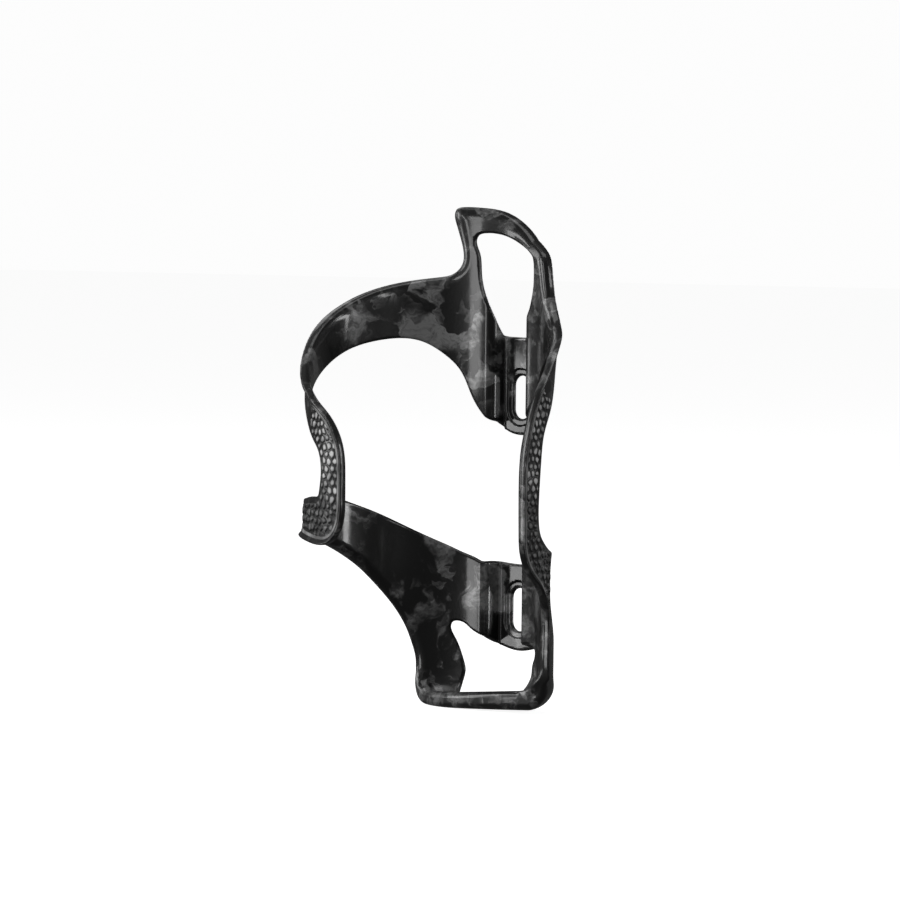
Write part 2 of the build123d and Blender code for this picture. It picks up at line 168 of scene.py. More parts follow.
GAP_EDGE = [
    [(0, -18.3), (-8, -17.8), (-16, -17.1), (-20, -16.8), (-32, -15), (-45, -13.4), (-58, -12.4),
     (-67, -11.3), (-73.4, -9), (-76.6, -6.8), (-78.3, -2.5), (-78.1, 5), (-76.7, 14),
     (-74.4, 21.7), (-70.2, 26.1), (-64.6, 30.7), (-59.4, 37.5), (-57, 41.2), (-52, 44.8),
     (-45, 46.2), (-37, 44.8), (-30, 41.6), (-24.7, 37.2), (-20.5, 32.6), (-16, 29.1),
     (-12.5, 26.1), (-8.9, 24.2), (-5.9, 22.3), (-3, 21), (0, 20.6), (3, 21), (5.9, 22.2),
     (8.9, 24.3), (12.8, 25.2), (15.6, 27.0), (20.4, 31.4), (24.7, 37.4), (28.8, 41.3),
     (36.8, 45.5), (44.7, 48.2), (54, 49.3), (69.2, 48.4), (83.5, 46.1), (98.2, 42.1),
     (119, 35.4), (129, 32.2), (136, 29.2), (143.2, 25.2), (150.4, 21), (154.8, 18.9),
     (158.4, 16.8), (160.6, 13.6), (161, 10), (160.1, 6.6), (159.2, 4.3)],
    [(159.2, 4.3), (158, 3.7), (151, 3.3), (140, 2.6), (125, 2.2), (110, 2.1), (93, 1.6),
     (82.4, 0), (72.7, -1.9), (63.9, -4), (53, -7.1), (39.7, -10.9), (31.8, -13),
     (23.7, -15.2), (18, -16.6), (15.3, -17.4), (12, -17.5), (8, -17.7), (4, -18.1), (0, -18.3)],
]
WINDOW_EDGE = [
    [(0, 50), (-4, 50.1), (-7, 50.4), (-8.9, 51.8), (-11, 54.6), (-13.2, 57.6), (-15.3, 61.3),
     (-17.1, 65.5), (-17.4, 70.5), (-16.8, 73.3), (-15.6, 74.6), (-9.8, 77), (-2.3, 79.2),
     (5, 80.7), (15, 81.2), (18.6, 80.5), (19.7, 78.5), (17.9, 75), (17, 69.5), (16, 65.3),
     (14.2, 61.8), (12.9, 59.2), (11.9, 56.6), (10.3, 53.9), (8.5, 51.6), (7.1, 50.5), (3.8, 50.1),
     (0, 50)],
]

# Outline of the bottle shelf in plan, from the bottle axis: (x, y) with +y to the frame. Its
# right and left curves run outside the shell, where the legs' outer faces bound it instead.
SHELF_FRONT = [(-30.1, 27.9), (-26.8, 24.8), (-20.3, 21.5), (-8, 17.6), (4, 14.8), (16, 13.3),
               (26, 12.7), (34.2, 12.4), (39, 14)]
SHELF_RIGHT = [(39, 14), (37, 25), (29, 34), (20, 38.5), (11.4, 37.6)]
SHELF_BACK = [(11.4, 37.6), (10.6, 33.4), (6.9, 30.5), (-1, 29.4), (-9, 29.2), (-13.4, 29.6),
              (-14.6, 31), (-15.4, 37.4)]
SHELF_LEFT = [(-15.4, 37.4), (-24, 35.5), (-30.1, 27.9)]


# ----------------------------------------------------------------------------------------------
# Curves and distance maps
# ----------------------------------------------------------------------------------------------
def smooth_curve(points):
    """Natural cubic spline through the points, sampled evenly enough to look round."""
    p = np.array(points, float)
    t = np.concatenate([[0], np.cumsum(np.linalg.norm(np.diff(p, axis=0), axis=1) ** 0.7)])
    h = np.diff(t)
    n = len(p)
    system = np.eye(n)
    right = np.zeros((n, 2))
    for i in range(1, n - 1):
        system[i, i - 1 : i + 2] = h[i - 1], 2 * (h[i - 1] + h[i]), h[i]
        right[i] = 6 * ((p[i + 1] - p[i]) / h[i] - (p[i] - p[i - 1]) / h[i - 1])
    bend = np.linalg.solve(system, right)
    out = []
    for i in range(n - 1):
        count = max(2, int(np.linalg.norm(p[i + 1] - p[i]) / CURVE_STEP))
        u = (np.arange(count) / count)[:, None] * h[i]
        v = h[i] - u
        out.append(
            (bend[i] * v**3 + bend[i + 1] * u**3) / (6 * h[i])
            + (p[i] / h[i] - bend[i] * h[i] / 6) * v
            + (p[i + 1] / h[i] - bend[i + 1] * h[i] / 6) * u
        )
    return np.vstack(out + [p[-1:]])


FLOOR_Y = AXIS_TO_BACK - WALL / 2
CORNER_Y = FLOOR_Y - CHANNEL_CORNER


def channel_plan(floor):
    """Where a channel's parts begin: its bend's centre, the angle at which it meets the shell,
    and the distance from its centre to its bend and to the shell."""
    bend_x = floor + CHANNEL_CORNER + CHANNEL_BEND
    bend_y = np.sqrt((SHELL_MID + CHANNEL_BEND) ** 2 - bend_x**2)
    meeting = np.arcsin(bend_x / (SHELL_MID + CHANNEL_BEND))
    bend_start = floor + CHANNEL_CORNER * math.pi / 2 + CORNER_Y - bend_y
    shell_start = bend_start + CHANNEL_BEND * (math.pi / 2 - meeting)
    return bend_x, bend_y, meeting, bend_start, shell_start


MEETING = float(channel_plan(np.array(UPPER_FLOOR[0]))[2])


def unrolled(angle):
    """Distance round the flat pattern at an angle in radians."""
    size = np.abs(angle)
    at_meeting = MEETING * SHELL_MID + CHANNEL_SPREAD
    beyond = size * SHELL_MID + CHANNEL_SPREAD
    return np.sign(angle) * np.where(size < MEETING, size / MEETING * at_meeting, beyond)


def on_pattern(points):
    """(angle, height) to (distance round the flat pattern, height)."""
    return [(float(unrolled(math.radians(a))), z) for a, z in points]


class DistanceMap:
    """Distance to a line in a plane, kept on a grid and read back by interpolation. It is
    negative inside where the line is closed."""

    def __init__(self, low, high, lines, closed):
        self.low = np.array(low, float)
        self.shape = tuple(np.ceil((np.array(high) - self.low) / MAP_STEP).astype(int) + 1)
        starts = np.vstack([line[:-1] for line in lines])
        ends = np.vstack([line[1:] for line in lines])
        xs = self.low[0] + MAP_STEP * np.arange(self.shape[0])
        ys = self.low[1] + MAP_STEP * np.arange(self.shape[1])
        grid = np.stack(np.meshgrid(xs, ys, indexing="ij"), -1).reshape(-1, 2)
        tree = KDTree(len(starts))
        for i, point in enumerate((starts + ends) / 2):
            tree.insert((point[0], point[1], 0), i)
        tree.balance()
        near = np.array([tree.find((x, y, 0))[1] for x, y in grid])
        best = np.full(len(grid), np.inf)
        for shift in (-1, 0, 1):
            i = np.clip(near + shift, 0, len(starts) - 1)
            along = ends[i] - starts[i]
            t = np.einsum("ij,ij->i", grid - starts[i], along) / np.einsum("ij,ij->i", along, along)
            foot = starts[i] + np.clip(t, 0, 1)[:, None] * along
            best = np.minimum(best, np.linalg.norm(grid - foot, axis=1))
        if closed:
            best *= np.where(self.inside(xs, ys, starts, ends), -1, 1)
        self.values = best.reshape(self.shape)

    @staticmethod
    def inside(xs, ys, starts, ends):
        """Even-odd test of every grid point against the closed line, one column at a time."""
        found = np.zeros((len(xs), len(ys)), bool)
        for column, x in enumerate(xs):
            crossing = (starts[:, 0] > x) != (ends[:, 0] > x)
            s, e = starts[crossing], ends[crossing]
            heights = s[:, 1] + (x - s[:, 0]) / (e[:, 0] - s[:, 0]) * (e[:, 1] - s[:, 1])
            found[column] = (heights[None, :] < ys[:, None]).sum(1) % 2 == 1
        return found.reshape(-1)

    def __call__(self, u, v):
        # places off the map, and on its last line, are read just inside it
        a = np.clip((u - self.low[0]) / MAP_STEP, 0, self.shape[0] - 1.001)
        b = np.clip((v - self.low[1]) / MAP_STEP, 0, self.shape[1] - 1.001)
        i, j = a.astype(int), b.astype(int)
        a, b = a - i, b - j
        g = self.values
        return (
            g[i, j] * (1 - a) * (1 - b) + g[i + 1, j] * a * (1 - b)
            + g[i, j + 1] * (1 - a) * b + g[i + 1, j + 1] * a * b
        )


def loop_map(loops):
    """Signed distance map of closed outlines, negative inside. Each loop is a list of curves."""
    lines = []
    for curves in loops:
        points = np.vstack(curves + [curves[0][:1]])
        keep = np.concatenate([[True], np.linalg.norm(np.diff(points, axis=0), axis=1) > 1e-6])
        lines.append(points[keep])
    every = np.vstack(lines)
    return DistanceMap(every.min(0) - MAP_MARGIN, every.max(0) + MAP_MARGIN, lines, closed=True)


free_curves = [smooth_curve(on_pattern(c)) for c in FREE_EDGE]
pattern_map = loop_map([
    free_curves + [smooth_curve(on_pattern(c)) for c in FOOT_EDGE],
    [smooth_curve(on_pattern(c)) for c in GAP_EDGE],
    [smooth_curve(on_pattern(c)) for c in WINDOW_EDGE],
])
lip_line = free_curves[0][free_curves[0][:, 1] > LIP_FOOT]
lip_map = DistanceMap(pattern_map.low, pattern_map.low + MAP_STEP * np.array(pattern_map.shape),
                      [lip_line], closed=False)
shelf_map = loop_map([[
    smooth_curve(c) for c in (SHELF_FRONT, SHELF_RIGHT, SHELF_BACK, SHELF_LEFT)
]])
rim_map = DistanceMap(shelf_map.low, shelf_map.low + MAP_STEP * np.array(shelf_map.shape),
                      [smooth_curve(SHELF_FRONT)], closed=False)


# ----------------------------------------------------------------------------------------------
# The moulding as one signed distance, in millimetres
# ----------------------------------------------------------------------------------------------
def ease(x):
    """Smooth step from 0 at 0 to 1 at 1."""
    x = np.clip(x, 0, 1)
    return x * x * (3 - 2 * x)


def both(a, b, radius):
    """Inside a and b, with the edge where they meet rounded."""
    a, b = a + radius, b + radius
    return np.minimum(np.maximum(a, b), 0) + np.hypot(np.maximum(a, 0), np.maximum(b, 0)) - radius


def lip_flare(around, z):
    """How far the middle layer is pushed out near a free edge, and how steeply."""
    grow = 1 + HOOP_LIP * ease((z - HOOP_LIP_RAMP[0]) / HOOP_LIP_RAMP[1])
    near = np.clip(1 - lip_map(around, z) / (LIP_WIDTH * grow), 0, 1)
    return LIP_RISE * grow * near**2, 2 * LIP_RISE / LIP_WIDTH * near


def hip(angle, z):
    """How far the middle layer is drawn in at the lower wing."""
    across = (np.degrees(angle) - HIP_CENTRE[0]) / HIP_REACH[0]
    up = (z - HIP_CENTRE[1]) / HIP_REACH[1]
    return HIP_DEPTH * np.clip(1 - across**2, 0, 1) ** 2 * np.clip(1 - up**2, 0, 1) ** 2


def slot_distance(x, z, centre):
    """Distance to the edge of the slot at this height, negative in it."""
    straight = (SLOT_LENGTH - SLOT_WIDTH) / 2
    beyond = np.maximum(np.abs(z - centre) - straight, 0)
    return np.hypot(x, beyond) - SLOT_WIDTH / 2


def section(x, y, z):
    """Signed distance outside the middle layer in plan, distance round the flat pattern,
    distance past the edge of a channel's floor, and the angle in radians."""
    angle = np.arctan2(-x, y)
    angle = np.where(angle < math.radians(ANGLE_START), angle + 2 * math.pi, angle)
    upper_floor = np.where(x < 0, *UPPER_FLOOR)
    lower_floor = np.where(x < 0, *LOWER_FLOOR)
    floor = np.where(z > 0, upper_floor, lower_floor)
    bend_x, bend_y, meeting, bend_start, shell_start = channel_plan(floor)
    side = np.abs(x)
    turn = np.arctan2(bend_y - y, bend_x - side)
    corner = np.arctan2(side - floor, y - CORNER_Y)
    places = [
        (z > CHANNEL_TOP) | (y < CHANNEL_Y),
        side < floor,
        y > CORNER_Y,
        y > bend_y,
        turn < math.pi / 2 - meeting,
    ]
    shell = np.hypot(x, y) - SHELL_MID
    out = np.select(places, [
        shell,
        y - FLOOR_Y,
        np.hypot(side - floor, y - CORNER_Y) - CHANNEL_CORNER,
        side - floor - CHANNEL_CORNER,
        CHANNEL_BEND - np.hypot(side - bend_x, y - bend_y),
    ], shell)
    across = np.select(places, [
        np.full_like(side, NO_CHANNEL),
        side,
        floor + CHANNEL_CORNER * corner,
        bend_start + bend_y - y,
        bend_start + CHANNEL_BEND * turn,
    ], NO_CHANNEL)
    stretch = (meeting * SHELL_MID + CHANNEL_SPREAD) / shell_start
    pattern = np.where(across < NO_CHANNEL, across * stretch, np.abs(unrolled(angle)))
    return out, pattern * np.where(angle < 0, -1, 1), across - floor, angle


def moulding_distance(x, y, z):
    """Whole moulding. x and y are measured from the bottle axis."""
    # its layer: how far out of the middle, with the ribs and pockets on the inner face
    out, around, from_corner, angle = section(x, y, z)
    flare, slope = lip_flare(around, z)
    slot = np.minimum(slot_distance(x, z, SLOT_PITCH / 2), slot_distance(x, z, -SLOT_PITCH / 2))
    relief = RIB_RISE * np.clip(1 - (from_corner / RIB_HALF) ** 2, 0, 1)
    relief = relief - POCKET_DEPTH * ease((POCKET_WIDTH - slot) / POCKET_STEP)
    relief = np.where((y > BACK_Y) & (from_corner < RELIEF_REACH), relief, 0)
    out = (out - flare + hip(angle, z)) / np.sqrt(1 + slope**2)
    # the shelf: how far above its middle, and where the legs turn into it
    radius = np.hypot(x, y)
    dish = DISH * np.maximum(radius - DISH_START, 0) ** 2 * ease((DISH_EDGE[0] - x) / DISH_EDGE[1])
    level = z - SHELF_MID - SHELF_TILT * x - dish
    low = ease((LEG_BLEND[0] - level) / LEG_BLEND[1])
    half = WALL / 2 * (1 - low) + SHELF_THICK / 2 * low
    rim = (RIM_RISE + RIM_SLOPE * x) * ease((RIM_WIDTH - rim_map(x, y)) / RIM_STEP)
    outside = both(out - half, -level - half, LEG_BEND + half)
    fillet = LEG_FILLET[0] + (LEG_FILLET[1] - LEG_FILLET[0]) * ease(x / FILLET_REACH)
    hollow = both(half + rim - level, out + half + relief, fillet)
    # cut to the outline
    plan = np.maximum(low, ease((PLAN_RADIUS[0] - radius) / PLAN_RADIUS[1]))
    outline = pattern_map(around, z) * (1 - plan) + shelf_map(x, y) * plan
    outline = np.where(y > BACK_Y, np.maximum(outline, -slot), outline)
    return both(outline, np.maximum(outside, -hollow), EDGE_ROUND + RIM_ROUND * low * rim)


# ----------------------------------------------------------------------------------------------
# Turning a signed distance into a mesh
# ----------------------------------------------------------------------------------------------
def polygonise(distance, low, high, voxel):
    """Vertices and quads of the surface where distance is zero."""
    counts = np.ceil((np.array(high) - np.array(low)) / voxel).astype(int) + 1
    xs, ys, zs = (low[i] + voxel * np.arange(counts[i]) for i in range(3))
    gx, gy = np.meshgrid(xs, ys, indexing="ij")
    field = np.empty(counts, np.float32)
    for k, z in enumerate(zs):
        field[:, :, k] = distance(gx, gy, np.full_like(gx, z))
    band = 3 * voxel
    grid = openvdb.FloatGrid(band)
    grid.copyFromArray(np.clip(field, -band, band))
    points, quads = grid.convertToQuads(0.0)
    return np.array(low) + points.astype(float) * voxel, quads


def slopes(distance, p, eps=0.04):
    """Gradient of the distance at points p."""
    out = np.empty_like(p)
    for axis in range(3):
        step = np.zeros(3)
        step[axis] = eps
        out[:, axis] = distance(*(p + step).T) - distance(*(p - step).T)
    return out / (2 * eps)


def settle(distance, p, rounds=3, least=0.25):
    """Moves points onto the surface. No slope counts as less than the root of least, so that
    points don't fly off where the distance is nearly flat."""
    for _ in range(rounds):
        g = slopes(distance, p)
        p = p - distance(*p.T)[:, None] * g / np.maximum((g * g).sum(1), least)[:, None]
    return p


points, quads = polygonise(moulding_distance, FIELD_LOW, FIELD_HIGH, VOXEL)
points = settle(moulding_distance, points)
print("moulding:", len(points), "points,", len(quads), "quads")


# ----------------------------------------------------------------------------------------------
# The moulding's named regions: cut along the seams, each closed and shaded as one surface
# ----------------------------------------------------------------------------------------------
def angle_and_height(p):
    """Angles in degrees and heights of points p."""
    angle = np.degrees(np.arctan2(-p[:, 0], p[:, 1]))
    return np.where(angle < ANGLE_START, angle + 360, angle), p[:, 2]


def radial_seam(angle):
    """Upright plane through the bottle axis: a point on it and its normal."""
    a = math.radians(angle)
    return (0, 0, 0), (-math.cos(a), -math.sin(a), 0)


def level_seam(height):
    """Level plane: a point on it and its normal."""
    return (0, 0, height), (0, 0, 1)


# Each seam's plane, and the angles and heights between which it cuts
SEAMS = [
    (level_seam(SHELF_CUT), (-180, 190), (-70, -45)),
    (level_seam(REAR_LEG_TOP), (REAR_LEG_BACK, 75), (-50, -30)),
    (level_seam(SIDE_LEG_TOP), (-90, -CHANNEL_EDGE), (-50, -38)),
    (level_seam(STRUT_BOTTOM), (-110, STRUT_BACK), (-12, 0)),
    (level_seam(STRUT_TOP), (-110, -50), (25, 36)),
    (level_seam(HOOP_FOOT_RIGHT), (-50, 0), (50, 62)),
    (level_seam(HOOP_FOOT_LEFT), (0, 50), (65, 73)),
    (radial_seam(CHANNEL_EDGE), (0, 30), (-50, 68)),
    (radial_seam(-CHANNEL_EDGE), (-30, 0), (-50, 60)),
    (radial_seam(UPPER_SEAMS[0]), (50, 75), (5, 80)),
    (radial_seam(UPPER_SEAMS[1]), (100, 125), (5, 80)),
    (radial_seam(UPPER_SEAMS[2]), (140, 156), (-20, 60)),
    (radial_seam(LOWER_SEAMS[0]), (45, 70), (-50, 5)),
    (radial_seam(LOWER_SEAMS[1]), (90, 110), (-50, 5)),
]
# In the order in which region_of() tests for them
REGIONS = [
    "bottom_shelf", "rear_leg", "side_leg", "lower_mount_plate", "upper_mount_plate", "neck_hoop",
    "upper_wing", "side_strut", "lower_wing", "upper_arm_rear", "upper_arm_side",
    "upper_arm_front", "front_strut", "lower_arm_front", "lower_arm_side", "lower_arm_rear",
]


def region_of(p):
    """Number of the named region that each point is in."""
    angle, z = angle_and_height(p)
    middle = np.abs(angle) < CHANNEL_EDGE
    left = angle >= CHANNEL_EDGE
    right = angle < 0
    upper = z > RING_SPLIT
    tests = [
        z < SHELF_CUT,
        (angle > REAR_LEG_BACK) & (angle < 75) & (z < REAR_LEG_TOP),
        (angle < -CHANNEL_EDGE) & (z < SIDE_LEG_TOP),
        middle & (z < 0),
        middle & (z < np.where(right, HOOP_FOOT_RIGHT, PLATE_TOP_LEFT)),
        (angle < CHANNEL_EDGE) & (z > HOOP_FOOT_RIGHT) | (angle < 45) & (z > HOOP_FOOT_LEFT),
        right & ((z > STRUT_TOP) | (angle > STRUT_BACK) & (z > WING_FOOT)),
        right & (z > STRUT_BOTTOM) & (angle < STRUT_BACK),
        right,
        left & upper & (angle < UPPER_SEAMS[0]),
        left & upper & (angle < UPPER_SEAMS[1]),
        left & upper & (angle < UPPER_SEAMS[2]),
        angle > UPPER_SEAMS[2],
        angle > LOWER_SEAMS[1],
        angle > LOWER_SEAMS[0],
        left,
    ]
    return np.select(tests, range(len(tests)), 0)


def cut_along_seams(points, quads):
    """Whole surface with every seam cut into it: points, faces and each face's region."""
    mesh = bpy.data.meshes.new("moulding")
    mesh.from_pydata(points, [], quads.tolist())
    bm = bmesh.new()
    bm.from_mesh(mesh)
    bpy.data.meshes.remove(mesh)
    for (origin, normal), (low_angle, high_angle), (low, high) in SEAMS:
        centres = np.array([f.calc_center_median() for f in bm.faces])
        angle, z = angle_and_height(centres)
        near = (angle > low_angle) & (angle < high_angle) & (z > low) & (z < high)
        faces = [f for f, use in zip(bm.faces, near) if use]
        edges = list({e for f in faces for e in f.edges})
        verts = list({v for f in faces for v in f.verts})
        bmesh.ops.bisect_plane(
            bm, geom=verts + edges + faces, dist=1e-5, plane_co=origin, plane_no=normal
        )
    bm.verts.index_update()
    out_points = np.array([v.co for v in bm.verts])
    out_faces = [[v.index for v in f.verts] for f in bm.faces]
    centres = np.array([f.calc_center_median() for f in bm.faces])
    bm.free()
    return out_points, out_faces, region_of(centres)


def link(name, data):
    """New object of this data, in the scene."""
    obj = bpy.data.objects.new(name, data)
    bpy.context.scene.collection.objects.link(obj)
    return obj


def closed_piece(name, points, faces, normals):
    """Object of these faces, its open seams filled flat, shaded with the given normals."""
    used, index = np.unique(np.concatenate(faces), return_inverse=True)
    splits = np.cumsum([len(f) for f in faces])[:-1]
    faces = [f.tolist() for f in np.split(index, splits)]
    mesh = bpy.data.meshes.new(name)
    mesh.from_pydata((points[used] - [0, AXIS_TO_BACK, 0]) * MM, [], faces)
    bm = bmesh.new()
    bm.from_mesh(mesh)
    open_edges = [e for e in bm.edges if e.is_boundary]
    filled = bmesh.ops.holes_fill(bm, edges=open_edges, sides=0)["faces"]
    bmesh.ops.triangulate(bm, faces=filled)
    bm.to_mesh(mesh)
    bm.free()
    mesh.shade_smooth()
    shading = normals[used]
    corner_normals = []
    for poly in mesh.polygons:
        if poly.index < len(faces):
            corner_normals += [shading[i] for i in poly.vertices]
        else:
            corner_normals += [poly.normal] * len(poly.vertices)
    mesh.normals_split_custom_set([tuple(n) for n in corner_normals])
    return link(name, mesh)


points, faces, region = cut_along_seams(points, quads)
normals = slopes(moulding_distance, points, 0.1)
normals /= np.linalg.norm(normals, axis=1)[:, None]
pieces = {}
for number, name in enumerate(REGIONS):
    mine = [f for f, r in zip(faces, region) if r == number]
    piece = closed_piece(f"shape_{name}", points, mine, normals)
    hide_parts(name)
    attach(piece, "root")
    pieces[name] = piece


# ----------------------------------------------------------------------------------------------
# Grip panels: pebbled, let into the struts, with a raised bead along the flared edge
# ----------------------------------------------------------------------------------------------
def cell_relief(u, v, seed):
    """Pebbles in rough hexagons: 0 in the grooves, 1 on the tops."""
    rng = np.random.default_rng(seed)
    rows = int((v.max() - v.min()) / (GRIP_PITCH * GRIP_ROWS)) + 4
    columns = int((u.max() - u.min()) / GRIP_PITCH) + 4
    j, i = np.meshgrid(np.arange(rows), np.arange(columns), indexing="ij")
    stray_x, stray_y = (rng.uniform(-far, far, i.shape) for far in PEBBLE_JITTER)
    cx = u.min() + (i + (j % 2) * 0.5 - 1 + stray_x) * GRIP_PITCH
    cy = v.min() + ((j - 1) * GRIP_ROWS + stray_y) * GRIP_PITCH
    centres = np.stack([cx.ravel(), cy.ravel()], 1)
    smaller = rng.uniform(0.0, PEBBLE_SPREAD, len(centres))
    grid = np.stack([u.ravel(), v.ravel()], 1)
    first = np.full(len(grid), 1e9)
    second = np.full(len(grid), 1e9)
    for centre, less in zip(centres, smaller):
        d = np.hypot(grid[:, 0] - centre[0], (grid[:, 1] - centre[1]) * PEBBLE_STRETCH) + less
        second = np.minimum(second, np.maximum(d, first))
        first = np.minimum(first, d)
    return ease((second - first) / (GRIP_PITCH * PEBBLE_ROUND)).reshape(u.shape)


def grip_panel(name, angles, heights, inset, seed):
    """Closed facing over part of the shell. inset gives the distance inside its plain ends."""
    low, high = (math.radians(a) * SHELL_MID for a in angles)
    us, zs = np.arange(low, high, GRIP_STEP), np.arange(*heights, GRIP_STEP)
    u, z = np.meshgrid(us, zs, indexing="ij")
    around = unrolled(u / SHELL_MID)
    from_free = lip_map(around, z)
    inside = np.minimum(from_free - GRIP_FREE_INSET, -pattern_map(around, z) - GRIP_PLAIN_INSET)
    inside = np.minimum(inside, inset(np.degrees(u / SHELL_MID), z))
    from_bead = np.abs(from_free - GRIP_FREE_INSET - BEAD_WIDTH / 2)
    bead = ease((BEAD_WIDTH / 2 - from_bead) / BEAD_EDGE)
    bead *= ease(inside / 0.3)
    relief = cell_relief(u, z, seed) * ease((inside - BEAD_WIDTH / 2) / 0.5)
    relief = relief * (1 - bead)
    height = GRIP_GROUND * ease(inside / GRIP_EDGE + 0.4) - GRIP_SINK
    height += BEAD_RISE * bead + PEBBLE_RISE * relief
    # painted highlight: pale pebble tops and bead, painted brighter higher up on the pebbles, kept
    # per point
    tone = np.maximum(bead * BEAD_HIGHLIGHT, relief * (PEBBLE_HIGHLIGHT[0] + PEBBLE_HIGHLIGHT[1] * ease(z / 8)))
    face = SHELL_IN + WALL + lip_flare(around, z)[0]
    keep = inside > -GRIP_SKIRT
    cell = keep[:-1, :-1] & keep[1:, :-1] & keep[:-1, 1:] & keep[1:, 1:]
    number = np.arange(u.size).reshape(u.shape)
    a, b = number[:-1, :-1][cell], number[1:, :-1][cell]
    c, d = number[1:, 1:][cell], number[:-1, 1:][cell]
    theta = u / SHELL_MID
    both_sides = [
        np.stack([-np.sin(theta) * r, np.cos(theta) * r - AXIS_TO_BACK, z], -1).reshape(-1, 3)
        for r in (face + height, face - GRIP_DEPTH)
    ]
    upper = np.stack([d, c, b, a], 1)
    lower = np.stack([a, b, c, d], 1) + u.size
    edges = {}
    for quad in upper:
        for s, e in zip(quad, np.roll(quad, -1)):
            edges[(int(s), int(e))] = True
    walls = [(e, s, s + u.size, e + u.size) for s, e in edges if (e, s) not in edges]
    mesh = bpy.data.meshes.new(name)
    mesh.from_pydata(np.vstack(both_sides) * MM, [], upper.tolist() + lower.tolist() + walls)
    layer = mesh.attributes.new("tone", "FLOAT", "POINT")
    layer.data.foreach_set("value", np.tile(tone.ravel(), 2).astype(np.float32))
    bm = bmesh.new()
    bm.from_mesh(mesh)
    bmesh.ops.delete(bm, geom=[v for v in bm.verts if not v.link_faces], context="VERTS")
    bmesh.ops.recalc_face_normals(bm, faces=bm.faces)
    bm.to_mesh(mesh)
    bm.free()
    mesh.shade_smooth()
    obj = link(name, mesh)
    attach(obj, "root")
    return obj


def front_limits(angle, z):
    """Up the strut to where it meets the arm, and round the block below it."""
    strut = np.minimum((angle - 150) * ARC, 30.5 - z)
    block = np.minimum((angle - 116) * ARC, 2.2 - z)
    return np.maximum(strut, block)


def side_limits(angle, z):
    """Up the strut to a slanting end, and back to an upright one on the wing."""
    return np.minimum((-64 - angle) * ARC, 37.5 - z - 0.35 * (angle + 80))


front_grip = grip_panel("shape_front_grip_panel", (112, 180), (-12, 34), front_limits, 3)
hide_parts("front_grip_panel")
side_grip = grip_panel("shape_side_grip_panel", (-95, -60), (-28, 36), side_limits, 8)
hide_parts("side_grip_panel")


# ----------------------------------------------------------------------------------------------
# Materials
# ----------------------------------------------------------------------------------------------
FLAKE_DRIFT = 0.011        # how far noise pushes the flakes' edges about, in metres


class Nodes:
    """Shorthand for building a material's node tree."""

    def __init__(self, name):
        self.material = bpy.data.materials.new(name)
        self.material.use_nodes = True
        self.tree = self.material.node_tree
        self.shader = self.tree.nodes["Principled BSDF"]

    def add(self, kind, settings=None, **inputs):
        """New node. An input is given by its name, or as i and its number."""
        node = self.tree.nodes.new(kind)
        for key, value in (settings or {}).items():
            setattr(node, key, value)
        for key, value in inputs.items():
            self.feed(node, int(key[1:]) if key.startswith("i") else key, value)
        return node

    def feed(self, node, socket, value):
        """Links or sets an input."""
        if isinstance(value, bpy.types.NodeSocket):
            self.tree.links.new(value, node.inputs[socket])
        else:
            node.inputs[socket].default_value = value

    def math(self, operation, a, b, clamp=False):
        """Output of a sum."""
        node = self.add("ShaderNodeMath", {"operation": operation, "use_clamp": clamp}, i0=a, i1=b)
        return node.outputs[0]

    def vector(self, operation, a, b):
        """Output of a vector sum."""
        return self.add("ShaderNodeVectorMath", {"operation": operation}, i0=a, i1=b).outputs[0]

    def noise(self, where, scale, detail, **inputs):
        """Noise texture node; its first output is the value."""
        return self.add("ShaderNodeTexNoise", Vector=where, Scale=scale, Detail=detail, **inputs)

    def grey_colour(self, grey):
        """Gives the shader this grey."""
        colour = self.add("ShaderNodeCombineColor", i0=grey, i1=grey, i2=grey).outputs[0]
        self.feed(self.shader, "Base Color", colour)

    def bump(self, socket, height, strength, distance):
        """Bump under one of the shader's normals; distance is in metres."""
        bump = self.add("ShaderNodeBump", Strength=strength, Distance=distance, Height=height)
        self.feed(self.shader, socket, bump.outputs[0])

    def spread(self, value, low, high, out_low=0.0, out_high=1.0):
        """Smooth step from out_low to out_high as the value goes from low to high."""
        node = self.add(
            "ShaderNodeMapRange", {"interpolation_type": "SMOOTHSTEP"},
            i0=value, i1=low, i2=high, i3=out_low, i4=out_high,
        )
        return node.outputs[0]


